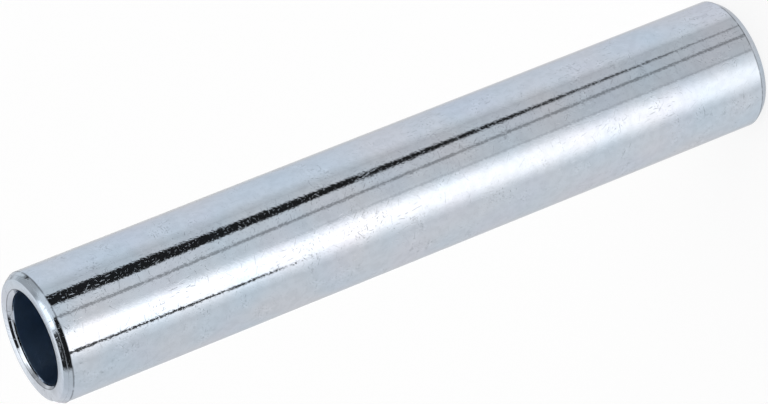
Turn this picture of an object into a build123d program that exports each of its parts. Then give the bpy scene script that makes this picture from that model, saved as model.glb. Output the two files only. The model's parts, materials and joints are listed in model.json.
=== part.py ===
"""Spacer sleeve: a straight steel tube that holds two bolted parts a set distance apart.

It is turned in one piece. Both ends are faced square, the outer edge of each end is
bevelled in two facets, and each mouth of the bore is countersunk, also in two facets.
The sleeve stands on its lower end: +Z runs along the bore, and the origin is at the
centre of the lower face. All sizes are in millimetres.
"""

import os

from build123d import *

# The tube
bore_diameter = 10.5  # lets an M10 bolt through
wall = 2.25
length = 90.0

# Outer edge of each end: a steep facet beside the face, then a shallow one to the body
rim_facet_run = 0.43
rim_facet_depth = 0.34
body_facet_run = 0.45
body_facet_depth = 0.26

# Mouth of the bore at each end: an open facet beside the face, then a steep one to the bore
mouth_facet_run = 0.25
mouth_facet_depth = 0.28
throat_facet_run = 0.35
throat_facet_depth = 0.15

# Radii of the section's corners
bore_radius = bore_diameter / 2
throat_radius = bore_radius + throat_facet_depth
mouth_radius = throat_radius + mouth_facet_depth
body_radius = bore_radius + wall
ridge_radius = body_radius - body_facet_depth
face_radius = ridge_radius - rim_facet_depth

# Distances of the section's corners from the middle of the sleeve's length
face_reach = length / 2
ridge_reach = face_reach - rim_facet_run
body_reach = ridge_reach - body_facet_run
throat_reach = face_reach - mouth_facet_run
bore_reach = throat_reach - throat_facet_run

# Half of the wall's section is drawn from the middle of the length up to the face,
# mirrored to the other half, and turned round Z
middle = Plane(origin=(0, 0, face_reach), x_dir=(1, 0, 0), z_dir=(0, -1, 0))

with BuildPart() as sleeve:
    with BuildSketch(middle) as wall_section:
        with BuildLine():
            Polyline(
                (bore_radius, 0),
                (bore_radius, bore_reach),
                (throat_radius, throat_reach),
                (mouth_radius, face_reach),
                (face_radius, face_reach),
                (ridge_radius, ridge_reach),
                (body_radius, body_reach),
                (body_radius, 0),
                close=True,
            )
        make_face()
        mirror(about=Plane.XZ)
    revolve(axis=Axis.Z)

sleeve.part.label = "spacer_sleeve"

os.makedirs("parts", exist_ok=True)
export_step(sleeve.part, "parts/spacer_sleeve.step")
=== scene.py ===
import json
import math

import bpy
import numpy as np
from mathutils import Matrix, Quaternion, Vector


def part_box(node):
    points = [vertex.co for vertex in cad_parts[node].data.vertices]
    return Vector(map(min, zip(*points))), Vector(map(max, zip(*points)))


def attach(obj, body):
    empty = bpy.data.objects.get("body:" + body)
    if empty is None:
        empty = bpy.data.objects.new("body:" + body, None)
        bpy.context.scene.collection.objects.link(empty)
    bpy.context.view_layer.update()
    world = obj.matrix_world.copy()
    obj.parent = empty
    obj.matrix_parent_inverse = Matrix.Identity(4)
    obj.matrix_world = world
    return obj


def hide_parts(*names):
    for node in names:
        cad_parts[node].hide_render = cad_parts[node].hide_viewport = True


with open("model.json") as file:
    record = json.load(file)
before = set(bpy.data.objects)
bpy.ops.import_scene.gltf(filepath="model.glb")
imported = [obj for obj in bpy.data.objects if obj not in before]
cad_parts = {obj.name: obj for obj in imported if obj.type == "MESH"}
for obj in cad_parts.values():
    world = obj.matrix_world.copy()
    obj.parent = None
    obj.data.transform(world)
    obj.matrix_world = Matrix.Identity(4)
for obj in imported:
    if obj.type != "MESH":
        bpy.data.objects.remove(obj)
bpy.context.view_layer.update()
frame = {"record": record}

# ---------------------------------------------------------------------------------------
# Spacer sleeve: one straight steel tube, cut and turned to length, with both ends faced,
# the outer edges bevelled in two facets and the bore's mouths countersunk.
# After turning it was barrel plated with bright bluish zinc, which left small nicks.
# ---------------------------------------------------------------------------------------
sleeve_low, sleeve_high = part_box("spacer_sleeve")
bore_mount = next(m for m in frame["record"]["mounts"] if m["name"] == "bore")
length = sleeve_high.z - sleeve_low.z
body_radius = (sleeve_high.x - sleeve_low.x) / 2
bore_radius = bore_mount["dims"]["r_mm"] / 1000

# Countersink, from the bore outwards: how far each facet reaches along the bore, and its depth
throat_reach = 0.00022
throat_depth = 0.00006
land_reach = 0.00014
land_depth = 0.00012
mouth_reach = 0.00024
mouth_depth = 0.00025

# Outer bevel, from the face outwards
rim_reach = 0.00043
rim_depth = 0.00034
lead_reach = 0.00045
lead_depth = 0.00026

# Tumbling left a small round at each corner, and a wide one on the bevel's ridge
edge_round = 0.00006
ridge_round = 0.003

throat_radius = bore_radius + throat_depth
land_radius = throat_radius + land_depth
mouth_radius = land_radius + mouth_depth
ridge_radius = body_radius - lead_depth
face_radius = ridge_radius - rim_depth

# The countersink was cut a little off the bore's axis, so it is wider and deeper to one side
mouth_offset = 0.00010
throat_swing = 0.00009
offset_direction = math.radians(-15)

steps_around = 360


def rounded_section(corners, rounds, arc_steps, straight_steps):
    """A section's points: straight runs between corners, each corner turned on a small arc.

    The arc touches both runs, so it starts round / tan(half the corner's angle) before the
    corner. Each point comes with the direction that the surface faces there.
    """
    places, facings = [], []
    starts = corners.copy()
    ends = corners.copy()
    for k in range(1, len(corners) - 1):
        back = corners[k - 1] - corners[k]
        ahead = corners[k + 1] - corners[k]
        back /= np.linalg.norm(back)
        ahead /= np.linalg.norm(ahead)
        half = math.acos(np.clip(back @ ahead, -1, 1)) / 2
        reach = rounds[k] / math.tan(half)
        ends[k] = corners[k] + back * reach
        starts[k] = corners[k] + ahead * reach
    for k in range(len(corners) - 1):
        run = ends[k + 1] - starts[k]
        facing = np.array([-run[1], run[0]]) / np.linalg.norm(run)
        share = np.linspace(0, 1, straight_steps[k] + 1)[:, None]
        places.append(starts[k] + run * share)
        facings.append(np.repeat(facing[None], len(share), axis=0))
        if k + 2 < len(corners):
            onward = corners[k + 2] - corners[k + 1]
            following = np.array([-onward[1], onward[0]]) / np.linalg.norm(onward)
            turn = np.linspace(0, 1, arc_steps + 1)[1:-1, None]
            first_angle = math.atan2(facing[1], facing[0])
            swing = math.atan2(
                facing[0] * following[1] - facing[1] * following[0], facing @ following
            )
            angles = first_angle + swing * turn
            arc_facing = np.hstack([np.cos(angles), np.sin(angles)])
            centre = ends[k + 1] - facing * rounds[k + 1]
            places.append(centre + arc_facing * rounds[k + 1])
            facings.append(arc_facing)
    return np.vstack(places), np.vstack(facings)


upper_corners = np.array([
    [bore_radius, length / 2],
    [bore_radius, length - mouth_reach - land_reach - throat_reach],
    [throat_radius, length - mouth_reach - land_reach],
    [land_radius, length - mouth_reach],
    [mouth_radius, length],
    [face_radius, length],
    [ridge_radius, length - rim_reach],
    [body_radius, length - rim_reach - lead_reach],
    [body_radius, length / 2],
])
upper_rounds = [0] + [edge_round] * 5 + [ridge_round, edge_round, 0]

# The face has enough steps for its rings, and the body for its waviness
upper_steps = [8, 2, 2, 2, 48, 2, 2, 43]
arc_steps = 4
section, facing = rounded_section(upper_corners, upper_rounds, arc_steps, upper_steps)

# The lower half mirrors the upper one, and closes the section
flip = np.array([1, -1])
section = np.vstack([section, section[-2:0:-1] * flip + np.array([0, length])])
facing = np.vstack([facing, facing[-2:0:-1] * flip])

# Facing left fine rings on both ends. Tumbling rounded the faces off so slightly that only
# the normals follow it.
ring_pitch = 0.00013
ring_slope = 0.20
crown_slope = 0.16
dish_slope = 0.12
on_face = np.abs(facing[:, 1]) > 0.999
end_side = np.sign(facing[:, 1])
half_face = (face_radius - mouth_radius) / 2
from_middle = (section[:, 0] - mouth_radius) / half_face - 1
ring_phase = section[:, 0] * 2 * math.pi / ring_pitch
ring_drop = ring_slope * ring_pitch / (2 * math.pi) * (1 - np.sin(ring_phase))
ring_tilt = -ring_slope * np.cos(ring_phase)
crown_tilt = crown_slope * from_middle - dish_slope
section[:, 1] -= np.where(on_face, end_side * ring_drop, 0)
facing[:, 0] += np.where(on_face, ring_tilt + crown_tilt, 0)


def waviness(around, height):
    """How far the body's surface stands off a true cylinder, in metres.

    A few long, shallow waves left by straightening: sines whose phases run helically.
    """
    waves = 0.0000006 * np.sin(3 * around + 240 * height + 0.4)
    waves += 0.0000005 * np.sin(5 * around - 410 * height + 2.1)
    waves += 0.0000003 * np.sin(9 * around + 900 * height + 4.0)
    return waves


def lathe(name, section, facing, steps):
    """A closed surface of revolution: section point i turned to angle j of a full circle.

    On the body the radius gains the waviness at that angle and height, and the normal leans
    back by its slopes. The countersink's circles are shifted sideways: the shift grows
    across the land, is full at the lip and dies out across the face. The throat's edge
    swings along the bore with the cosine of the angle, and the bore's points follow it by
    their share of the way from the middle to the end.
    """
    around = np.arange(steps) * 2 * math.pi / steps
    radius = section[:, 0][:, None]
    height = np.repeat(section[:, 1][:, None], steps, axis=1)
    angle = np.repeat(around[None], len(section), axis=0)
    on_body = (facing[:, 0] > 0.999)[:, None]
    reach = radius + np.where(on_body, waviness(angle, height), 0)
    nudge = 0.00001
    turn = nudge / body_radius
    rise_up = waviness(angle, height + nudge) - waviness(angle, height - nudge)
    rise_round = waviness(angle + turn, height) - waviness(angle - turn, height)
    slope_up = np.where(on_body, rise_up / (2 * nudge), 0)
    slope_round = np.where(on_body, rise_round / (2 * nudge), 0)
    inner = np.clip((section[:, 0] - throat_radius) / land_depth, 0, 1)
    outer = np.clip((face_radius - section[:, 0]) / (face_radius - mouth_radius), 0, 1)
    sideways = (inner * outer)[:, None] * mouth_offset
    share_up = np.clip(section[:, 1] * 2 / length - 1, -1, 1) * (1 - inner)
    toward = np.cos(angle - offset_direction)
    height = height - share_up[:, None] * throat_swing * toward
    places = np.stack([
        reach * np.cos(angle) + sideways * math.cos(offset_direction),
        reach * np.sin(angle) + sideways * math.sin(offset_direction),
        height,
    ], axis=-1)
    radial = facing[:, 0][:, None]
    axial = facing[:, 1][:, None] - slope_up
    normals = np.stack([
        radial * np.cos(angle) + slope_round * np.sin(angle),
        radial * np.sin(angle) - slope_round * np.cos(angle),
        np.broadcast_to(axial, angle.shape),
    ], axis=-1)
    normals /= np.linalg.norm(normals, axis=-1, keepdims=True)
    rows = len(section)
    i, j = np.meshgrid(np.arange(rows), np.arange(steps), indexing="ij")
    i_next, j_next = (i + 1) % rows, (j + 1) % steps
    near, onward = i * steps, i_next * steps
    quads = np.stack([near + j, onward + j, onward + j_next, near + j_next], axis=-1)
    mesh = bpy.data.meshes.new(name)
    mesh.from_pydata(places.reshape(-1, 3), [], quads.reshape(-1, 4).tolist())
    mesh.polygons.foreach_set("use_smooth", np.ones(rows * steps, bool))
    mesh.normals_split_custom_set_from_vertices(normals.reshape(-1, 3).tolist())
    mesh.update()
    return mesh


class Shade:
    """A shader socket used like a number: arithmetic on it adds the Math nodes."""

    def __init__(self, tree, socket=None):
        self.tree = tree
        self.socket = socket

    def node(self, kind, settings, sockets, output=0):
        """Adds a node: its settings first, then its sockets' values or links."""
        made = self.tree.nodes.new(kind)
        for name, value in settings.items():
            if name == "stops":
                ramp = made.color_ramp
                while len(ramp.elements) < len(value):
                    ramp.elements.new(1)
                for stop, (place, colour) in zip(ramp.elements, value):
                    stop.position = place
                    stop.color = colour
            else:
                setattr(made, name, value)
        for name, value in sockets.items():
            if isinstance(value, Shade):
                self.tree.links.new(value.socket, made.inputs[name])
            else:
                made.inputs[name].default_value = value
        return Shade(self.tree, made.outputs[output] if made.outputs else None)

    def twin(self, output):
        """Another output of the node that this socket belongs to."""
        return Shade(self.tree, self.socket.node.outputs[output])

    def math(self, operation, *values):
        """One Math node's result on these values."""
        return self.node("ShaderNodeMath", {"operation": operation}, dict(enumerate(values)))

    def __add__(self, other):
        return self.math("ADD", self, other)

    def __sub__(self, other):
        return self.math("SUBTRACT", self, other)

    def __mul__(self, other):
        return self.math("MULTIPLY", self, other)

    def __truediv__(self, other):
        return self.math("DIVIDE", self, other)

    def __rsub__(self, other):
        return self.math("SUBTRACT", other, self)

    def __abs__(self):
        return self.math("ABSOLUTE", self)

    __radd__ = __add__
    __rmul__ = __mul__

    def ease(self, start, stop):
        """0 below start, 1 above stop, and an even S between; start may be the higher."""
        return self.node(
            "ShaderNodeMapRange",
            {"interpolation_type": "SMOOTHSTEP"},
            {"Value": self, "From Min": start, "From Max": stop},
        )

    def blend(self, first, second):
        """The first colour where this is 0 and the second where it is 1."""
        return self.node(
            "ShaderNodeMix", {"data_type": "RGBA"}, {0: self, 6: first, 7: second}, output=2
        )

    def times(self, factor):
        """A colour or a place with all three of its numbers multiplied by the factor."""
        sockets = {"Vector": self, "Scale": factor}
        return self.node("ShaderNodeVectorMath", {"operation": "SCALE"}, sockets)

    def apart(self):
        """The three numbers of a place or a colour."""
        first = self.node("ShaderNodeSeparateXYZ", {}, {"Vector": self})
        return first, first.twin("Y"), first.twin("Z")

    def noise(self, grain, detail=1.0, roughness=0.5):
        """Cloudy noise read at this place, with lumps about one grain across."""
        sockets = {"Vector": self, "Scale": 1 / grain, "Detail": detail, "Roughness": roughness}
        return self.node("ShaderNodeTexNoise", {}, sockets)

    def scatter(self, cell, output):
        """What the nearest of a scatter of points gives, with about one point in each cell."""
        sockets = {"Vector": self, "Scale": 1 / cell}
        return self.node("ShaderNodeTexVoronoi", {}, sockets, output)

    def grey(self):
        """A grey as bright as this number."""
        return self.node("ShaderNodeCombineXYZ", {}, {"X": self, "Y": self, "Z": self})


def blank_material(name):
    """A material with no nodes yet, and a Shade that adds them."""
    material = bpy.data.materials.new(name)
    material.use_nodes = True
    material.node_tree.nodes.clear()
    return material, Shade(material.node_tree)


def nicks(place, radius, cell, half_width, half_length, first_lean, lean_range, share):
    """Straight nicks, at most one in each cell of a scatter of points, 1 on the nick's line.

    Each nick is a short line through its cell's point. Its lean from the bore's direction,
    its length, and whether it is there at all are drawn from the cell's own colour. It
    tapers out towards its tips.
    """
    point = place.scatter(cell, "Position")
    lean_draw, length_draw, share_draw = point.twin("Color").apart()
    off = place.node("ShaderNodeVectorMath", {"operation": "SUBTRACT"}, {0: place, 1: point})
    x, y, z = place.apart()
    off_x, off_y, rise = off.apart()
    side = (off_y * x - off_x * y) / radius
    lean = lean_draw * lean_range + first_lean
    cosine, sine = place.math("COSINE", lean), place.math("SINE", lean)
    reach = (length_draw * 0.75 + 0.25) * half_length
    outward = abs(rise * cosine + side * sine) / reach
    width = half_width * (1 - outward * 0.7)
    across = abs(side * cosine - rise * sine)
    line = across.ease(width, width * 0.3) * outward.ease(1.0, 0.8)
    return line * place.math("LESS_THAN", share_draw, share)


def pits(place, cell, half_width, share):
    """Round pits, at most one in each cell of a scatter of points, 1 at the pit's middle."""
    away = place.scatter(cell, "Distance") * cell
    width_draw, share_draw, _ = place.scatter(cell, "Color").apart()
    width = (width_draw * 0.7 + 0.3) * half_width
    return away.ease(width, width * 0.2) * place.math("LESS_THAN", share_draw, share)


def barrel_marks(place, radius, scuffed):
    """Masks of the marks that barrel plating left: fine nicks, long scratches and pits.

    Each kind is denser in soft patches. The scratches are the higher of two scatters: one
    leans widely, and the other runs nearly along the bore.
    """
    dragged = place.noise(0.0070, detail=1.0).ease(0.52, 0.62)
    pitted = place.noise(0.0050, detail=1.0).ease(0.50, 0.62)
    fine_nicks = nicks(
        place, radius, cell=0.00042, half_width=0.000045, half_length=0.00020,
        first_lean=0.9, lean_range=2.4, share=0.50,
    ) * (scuffed * 0.75 + 0.25)
    long_nicks = nicks(
        place, radius, cell=0.0014, half_width=0.000055, half_length=0.00070,
        first_lean=0.7, lean_range=2.4, share=0.55,
    ) * (scuffed * 0.6 + 0.4)
    dragged_nicks = nicks(
        place, radius, cell=0.0008, half_width=0.000050, half_length=0.00055,
        first_lean=-0.25, lean_range=0.5, share=0.55,
    ) * dragged
    scratched = place.math("MAXIMUM", long_nicks, dragged_nicks)
    pocked = pits(place, cell=0.0010, half_width=0.00015, share=0.30) * (pitted * 0.88 + 0.12)
    return fine_nicks, scratched, pocked


def corner_line(from_axis, from_end, corner_radius, corner_depth, half_width):
    """1 within half the line's width of a turned corner, fading to 0 at one and a half of it."""
    aside, down = from_axis - corner_radius, from_end - corner_depth
    near = from_axis.math("SQRT", aside * aside + down * down)
    return near.ease(half_width * 1.5, half_width * 0.5)


def tinted_film(place, mottle):
    """The passivation film's colour: blue to warm grey in soft clouds, violet here and there."""
    cloud = place.noise(0.0080, detail=1.0)
    film = place.node("ShaderNodeValToRGB", {"stops": [
        (0.32, (0.485, 0.566, 0.650, 1)),
        (0.50, (0.516, 0.570, 0.635, 1)),
        (0.68, (0.545, 0.573, 0.622, 1)),
    ]}, {0: cloud})
    violet = place.noise(0.0060, detail=0.0).ease(0.45, 0.70) * 0.25
    film = violet.blend(film, (0.530, 0.550, 0.638, 1))
    return film.times(1.01 - mottle.ease(0.35, 0.70) * 0.06)


def bright_zinc():
    """Bluish zinc over steel: mirror bright, tinted in soft patches, nicked and scratched, with
    painted shade in its marks, along its edge and lip, and in its bore.
    """
    nick_depth = 0.000010
    pit_depth = 0.000012
    # How much painted shade darkens the nicks, scratches and pits
    mark_shade_darkness = 0.35
    # How much painted shade darkens the body's edge and the mouth's lip
    edge_shade_darkness = 0.5
    lip_shade_darkness = 0.6
    smudge_darkness = 0.16
    # The bore's darker, bluer colour is painted shade inside the bore
    bore_shade_colour = (0.33, 0.45, 0.60, 1)

    material, shade = blank_material("bright_zinc")
    place = shade.node("ShaderNodeTexCoord", {}, {}, output="Object")
    x, y, z = place.apart()
    radius = shade.math("SQRT", x * x + y * y)
    from_end = length / 2 - abs(z - length / 2)
    in_bore = radius.ease(bore_radius + 0.00002, bore_radius + 0.00001)

    # Rubbing in the plating barrel left its marks along one slanting direction, so they are
    # read at a place turned about the bore by an angle that grows with height
    twist = z * (-math.tan(math.radians(40)) / body_radius)
    cosine, sine = shade.math("COSINE", twist), shade.math("SINE", twist)
    slanted = shade.node("ShaderNodeCombineXYZ", {}, {
        "X": x * cosine - y * sine, "Y": x * sine + y * cosine, "Z": z * 0.6,
    })
    rubbing = slanted.noise(0.00030)
    grain = place.noise(0.00026)
    swell = place.noise(0.0007)
    mottle = place.noise(0.0009)
    scuffed = place.noise(0.0034, detail=2.0, roughness=0.6).ease(0.53, 0.65)
    smudged = scuffed * place.noise(0.0008, detail=2.0, roughness=0.6).ease(0.56, 0.70)
    fine_nicks, scratched, pocked = barrel_marks(place, radius, scuffed)

    # The ridge between the facets is rubbed dull. Painted shade darkens the colour in a line
    # along the body's edge, broken up by mottle, and round the mouth's lip, which turns about the
    # countersink's own axis
    ridge_line = corner_line(radius, from_end, ridge_radius, rim_reach, 0.00006)
    edge_line = corner_line(radius, from_end, body_radius, rim_reach + lead_reach, 0.00009)
    mouth_x = x - mouth_offset * math.cos(offset_direction)
    mouth_y = y - mouth_offset * math.sin(offset_direction)
    mouth_distance = shade.math("SQRT", mouth_x * mouth_x + mouth_y * mouth_y)
    lip_line = corner_line(mouth_distance, from_end, mouth_radius, 0, 0.00006)
    edge_shade = edge_line * mottle.ease(0.25, 0.50) * edge_shade_darkness
    lip_shade = lip_line * (1 - swell.ease(0.35, 0.65) * 0.4) * lip_shade_darkness

    film = tinted_film(place, mottle).times(1 + scuffed * rubbing.ease(0.45, 0.62) * 0.06)
    # Painted shade darkens the colour in the nicks, scratches and pits
    darkest = shade.math("MAXIMUM", shade.math("MAXIMUM", fine_nicks, pocked), scratched * 0.6)
    mark_shade = 1 - darkest * mark_shade_darkness
    # Real smudges darken the colour, and so does the painted shade along the edge and the lip
    smudged_and_shaded = 1 - edge_shade - lip_shade - smudged * smudge_darkness
    # Inside the bore the colour is the painted shade colour
    colour = in_bore.blend(film.times(mark_shade * smudged_and_shaded), bore_shade_colour)

    lumps = grain * (scuffed * 0.5 + 0.7) * 0.000006 + rubbing * 0.000005 + swell * 0.000004
    nicked = shade.math("MAXIMUM", fine_nicks, scratched * 1.4)
    height = lumps - nicked * nick_depth - pocked * pit_depth
    bumped = shade.node("ShaderNodeBump", {}, {"Distance": 1.0, "Height": height})
    roughness = in_bore * 0.25 + ridge_line * 0.3 + scuffed * 0.04 + 0.065
    surface = shade.node(
        "ShaderNodeBsdfPrincipled",
        {},
        {
            "Base Color": colour,
            "Metallic": 1.0,
            "Roughness": roughness,
            "Specular Tint": (0.78, 0.78, 0.79, 1),
            "Normal": bumped,
        },
    )
    shade.node("ShaderNodeOutputMaterial", {}, {"Surface": surface})
    return material


sleeve = bpy.data.objects.new("sleeve", lathe("sleeve", section, facing, steps_around))
sleeve.data.materials.append(bright_zinc())
bpy.context.collection.objects.link(sleeve)
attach(sleeve, "root")
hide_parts("spacer_sleeve")

# ---------------------------------------------------------------------------------------
# Floor: a wide pale table top. It glows white to the camera and in the metal's reflections,
# and a share of plain diffuse paint on it keeps the sleeve's shadow.
# ---------------------------------------------------------------------------------------
floor_reach = 4.0
floor_paint = 0.2

floor_mesh = bpy.data.meshes.new("floor")
floor_corners = np.array([(-1, -1, 0), (1, -1, 0), (1, 1, 0), (-1, 1, 0)]) * floor_reach
floor_mesh.from_pydata(floor_corners.tolist(), [], [(0, 1, 2, 3)])
floor = bpy.data.objects.new("floor", floor_mesh)
bpy.context.collection.objects.link(floor)

floor_material, shade = blank_material("pale_floor")
camera_ray = shade.node("ShaderNodeLightPath", {}, {}, output="Is Camera Ray")
glossy_ray = shade.node("ShaderNodeLightPath", {}, {}, output="Is Glossy Ray")
clear_ray = shade.node("ShaderNodeLightPath", {}, {}, output="Is Transmission Ray")
seen_white = shade.math("MAXIMUM", shade.math("MAXIMUM", camera_ray, glossy_ray), clear_ray)
paint = shade.node("ShaderNodeBsdfDiffuse", {}, {"Color": (0.95, 0.95, 0.95, 1)})
glow = shade.node("ShaderNodeEmission", {}, {"Color": (1, 1, 1, 1), "Strength": 1.04})
glow_share = seen_white * (1 - floor_paint)
floor_look = shade.node("ShaderNodeMixShader", {}, {0: glow_share, 1: paint, 2: glow})
shade.node("ShaderNodeOutputMaterial", {}, {"Surface": floor_look})
floor_mesh.materials.append(floor_material)

# ---------------------------------------------------------------------------------------
# Low cards: white strip lights and black flags that lie fanned round the sleeve's foot, in
# front of it and behind, where its side mirrors the floor. They show in the metal alone.
# ---------------------------------------------------------------------------------------
camera_elevation = math.radians(23.58)
card_length = 0.6
card_gap = 0.0003
card_lift = 0.0002
card_glow = 1.03

# How far out the camera sees the floor mirrored in the sleeve's upper end
top_distance = length / math.tan(camera_elevation)


def fan(name, first_angle, last_angle, spread, light):
    """A sheet on the floor: from angle a on the body, straight out along direction spread * a.

    With a spread of 2, that is where a viewer in front sees the floor mirrored at angle a.
    Angles are in degrees from the front. The UV map holds each corner's share of the way
    from the first angle to the last, and of the way out. The light function makes the
    sheet's material from the two angles.
    """
    turns = np.linspace(first_angle, last_angle, 120)
    distances = np.linspace(card_gap, card_length, 60)
    a, d = np.meshgrid(np.radians(turns), distances, indexing="ij")
    toward = body_radius * np.cos(a) + d * np.cos(spread * a)
    aside = body_radius * np.sin(a) + d * np.sin(spread * a)
    places = np.stack([aside, -toward, np.full_like(a, card_lift)], axis=-1)
    rows, columns = a.shape
    i, j = np.meshgrid(np.arange(rows - 1), np.arange(columns - 1), indexing="ij")
    first = i * columns + j
    quads = np.stack([first, first + columns, first + columns + 1, first + 1], axis=-1)
    mesh = bpy.data.meshes.new(name)
    mesh.from_pydata(places.reshape(-1, 3), [], quads.reshape(-1, 4).tolist())
    across, along = np.meshgrid(np.linspace(0, 1, rows), distances / card_length, indexing="ij")
    corner = np.empty(len(mesh.loops), np.int32)
    mesh.loops.foreach_get("vertex_index", corner)
    shares = np.stack([across.ravel()[corner], along.ravel()[corner]], axis=-1)
    mesh.uv_layers.new(name="card").data.foreach_set("uv", shares.ravel())
    mesh.materials.append(light(first_angle, last_angle))
    card = bpy.data.objects.new(name, mesh)
    card.visible_camera = False
    card.visible_diffuse = False
    card.visible_shadow = False
    card.visible_transmission = False
    bpy.context.collection.objects.link(card)


def strip(angle, middle, half_width, soft):
    """1 on a strip between two angles on the body, fading over soft degrees at each side."""
    return abs(angle - middle).ease(half_width + soft, half_width - soft)


def shaded(glow, mask, level):
    """The glow brought down, or up, to level times itself where the mask is 1."""
    return glow * (1 - mask * (1 - level))


def front_light(first_angle, last_angle):
    """An even glow with one bright warm strip, wide soft greys, thin lines and a black stripe.

    Footward is 1 at the sleeve's foot and 0 where its upper end is mirrored. The strips'
    angles change with it, so that they run a little askew along the sleeve.
    """
    material, shade = blank_material("strip_cards")
    across, along, _ = shade.node("ShaderNodeTexCoord", {}, {}, output="UV").apart()
    angle = across * (last_angle - first_angle) + first_angle
    footward = shade.math("MAXIMUM", 1 - along * (card_length / top_distance), 0.0)

    highlight = angle.ease(1.5 - footward, -9.5 - footward * 4)
    highlight = highlight * angle.ease(-31 - footward * 1.5, -14 - footward * 4)
    glow = card_glow + highlight * (1.05 - footward * 0.40)

    # Wide, soft changes of grey
    front_edge = angle.ease(50 - footward * 8, 36 - footward * 2)
    glow = shaded(glow, angle.ease(-1, 4) * front_edge, 0.95 - footward * 0.20)
    glow = shaded(glow, angle.ease(29, 33) * angle.ease(46, 38), 0.87 + footward * 0.12)
    glow = shaded(glow, angle.ease(-30, -36) * angle.ease(-72, -56), 0.93 + footward * 0.05)

    # Thin grey lines, then a black line and a black stripe that narrows towards the foot
    glow = shaded(glow, strip(angle, 10 + footward * 7, 1.2, 0.7), 0.46)
    foot_line = strip(angle, footward * 4.8 - 2.1, 0.8, 0.6) * footward.ease(0.10, 0.45)
    glow = shaded(glow, foot_line, 0.74)
    glow = shaded(glow, strip(angle, 36.5, 0.8, 0.6), 0.92)
    glow = shaded(glow, strip(angle, -33, 1.5, 1.2), 0.95)
    black_line = strip(angle, -21.35 - footward * 1.3, 1.1, 0.35) * footward.ease(0.30, 0.22)
    glow = shaded(glow, black_line, 0.02)
    half_stripe = 5.2 - footward * 5.1
    black_stripe = strip(angle, 25.3 + footward * 1.7, half_stripe, 0.5 + footward * 0.8)
    glow = shaded(glow, black_stripe, 0.02)

    tint = angle.ease(34, 50).blend((1, 1, 1, 1), (0.985, 1, 1.035, 1))
    tint = highlight.blend(tint, (1.06, 1, 0.965, 1))
    light = shade.node("ShaderNodeEmission", {}, {"Color": tint.times(glow)})
    shade.node("ShaderNodeOutputMaterial", {}, {"Surface": light})
    return material


def back_light(first_angle, last_angle):
    """An even glow with one bright strip, one nearly black and one thin grey."""
    material, shade = blank_material("back_cards")
    across, _, _ = shade.node("ShaderNodeTexCoord", {}, {}, output="UV").apart()
    angle = across * (last_angle - first_angle) + first_angle
    glow = shaded(card_glow + strip(angle, 189, 3.5, 2) * 0.75, strip(angle, 174, 2.5, 1.2), 0.15)
    glow = shaded(glow, strip(angle, 165.5, 1.0, 0.8), 0.55)
    light = shade.node("ShaderNodeEmission", {}, {"Color": glow.grey()})
    shade.node("ShaderNodeOutputMaterial", {}, {"Surface": light})
    return material


fan("strip_cards", -75, 75, 2, front_light)
fan("back_cards", 160, 200, 1, back_light)

# ---------------------------------------------------------------------------------------
# Light tent: even white light from all sides, with a dark opening in its front left, a few
# grey and black flags, and brighter panels. Angles are in degrees, from the front round to
# the right and up from the horizon.
# ---------------------------------------------------------------------------------------
world = bpy.data.worlds.new("light_tent")
bpy.context.scene.world = world
world.use_nodes = True
world.node_tree.nodes.clear()
shade = Shade(world.node_tree)
dx, dy, dz = shade.node("ShaderNodeTexCoord", {}, {}, output="Generated").apart()
azimuth = shade.math("ARCTAN2", dx, dy * -1) * math.degrees(1)
elevation = shade.math("ARCSINE", dz) * math.degrees(1)


def window(angle, low, high, soft):
    """1 between two angles and 0 outside, fading over soft degrees each side of both."""
    return angle.ease(low - soft, low + soft) * angle.ease(high + soft, high - soft)


# The opening's left edge leans, its right edge bulges and its top edge is arched
left_edge = (azimuth + elevation * 0.8).ease(-60, -44)
bulge = abs(elevation - 36).ease(16, 4) * 28
right_edge = (azimuth - bulge).ease(1, -7)
arched = elevation + azimuth * azimuth * 0.0018
opening = left_edge * right_edge * arched.ease(60, 56.5) * elevation.ease(3, 7)
top_flag = window(azimuth, -100, 14, 6) * arched.ease(66, 69)
low_flag = window(azimuth, -12, 120, 8) * window(elevation, 0, 15, 2.5)
dark = opening + top_flag + low_flag

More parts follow.
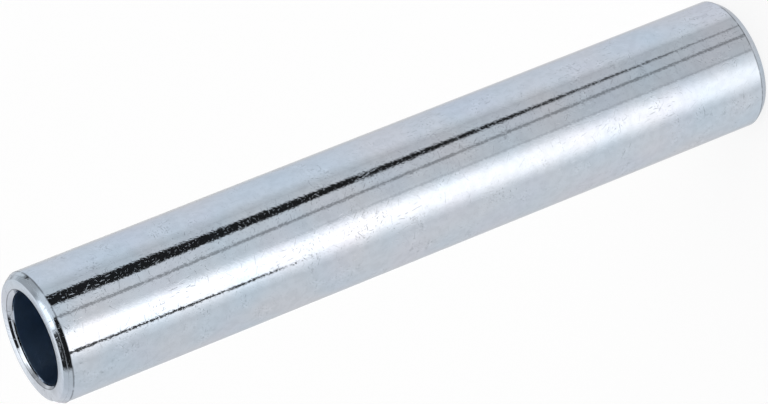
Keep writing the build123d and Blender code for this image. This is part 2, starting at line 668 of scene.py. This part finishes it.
slope = elevation + azimuth * 0.2
grey_side = window(azimuth, 80, 138, 9) * slope.ease(33, 39) * elevation.ease(60, 48)
grey_side = grey_side * (0.42 + elevation.ease(34, 44) * 0.14)
left_shade = azimuth.ease(-145, -100) * window(elevation, 2, 48, 8) * left_edge.ease(1, 0)
back_flag = window(azimuth, 150, 171, 5) * window(elevation, -6, 17, 4)

softbox = window(azimuth, 7, 76, 6) * window(elevation, 46, 71, 4)
low_strip = window(azimuth, 8, 62, 5) * window(elevation, 17, 30, 4)
from_back = 180 - abs(azimuth)
overhead = (from_back - (elevation - 19) * 0.38).ease(6, -6) * window(elevation, 26, 78, 5)
behind = from_back.ease(50, 20) * window(elevation, -3, 26, 4)

# What each part takes from the white, or adds to it; the camera itself sees plain white
sky = 1.0 - dark * 0.98 - grey_side - left_shade * 0.17 - back_flag * 0.5
sky = sky + softbox + low_strip * 0.7 + overhead * 0.75 + behind * 0.12
camera_ray = shade.node("ShaderNodeLightPath", {}, {}, output="Is Camera Ray")
tent_light = shade.math("MAXIMUM", camera_ray, sky).grey()
tent = shade.node("ShaderNodeBackground", {}, {"Color": tent_light})
shade.node("ShaderNodeOutputWorld", {}, {"Surface": tent})

# ---------------------------------------------------------------------------------------
# Camera: a long lens half a metre away, above the sleeve's side and rolled so that the
# standing sleeve lies across the picture with its upper mouth at the lower left.
# ---------------------------------------------------------------------------------------
camera_roll = math.radians(-111.77)
camera_distance = 72.10 * body_radius
aim_height = length - 5.843 * body_radius
aim_drop = 0.029 * body_radius

camera = bpy.data.objects.new("camera", bpy.data.cameras.new("camera"))
camera.data.sensor_width = 36.0
camera.data.lens = 231.3
back = Vector((0, -math.cos(camera_elevation), math.sin(camera_elevation)))
turn = back.to_track_quat("Z", "Y") @ Quaternion((0, 0, 1), camera_roll)
aim = Vector((0, 0, aim_height)) - turn @ Vector((0, aim_drop, 0))
camera.rotation_mode = "QUATERNION"
camera.rotation_quaternion = turn
camera.location = aim + back * camera_distance
camera.data.clip_start = 0.01
camera.data.clip_end = 20.0
bpy.context.collection.objects.link(camera)
bpy.context.scene.camera = camera
bpy.context.scene.view_settings.view_transform = "Standard"
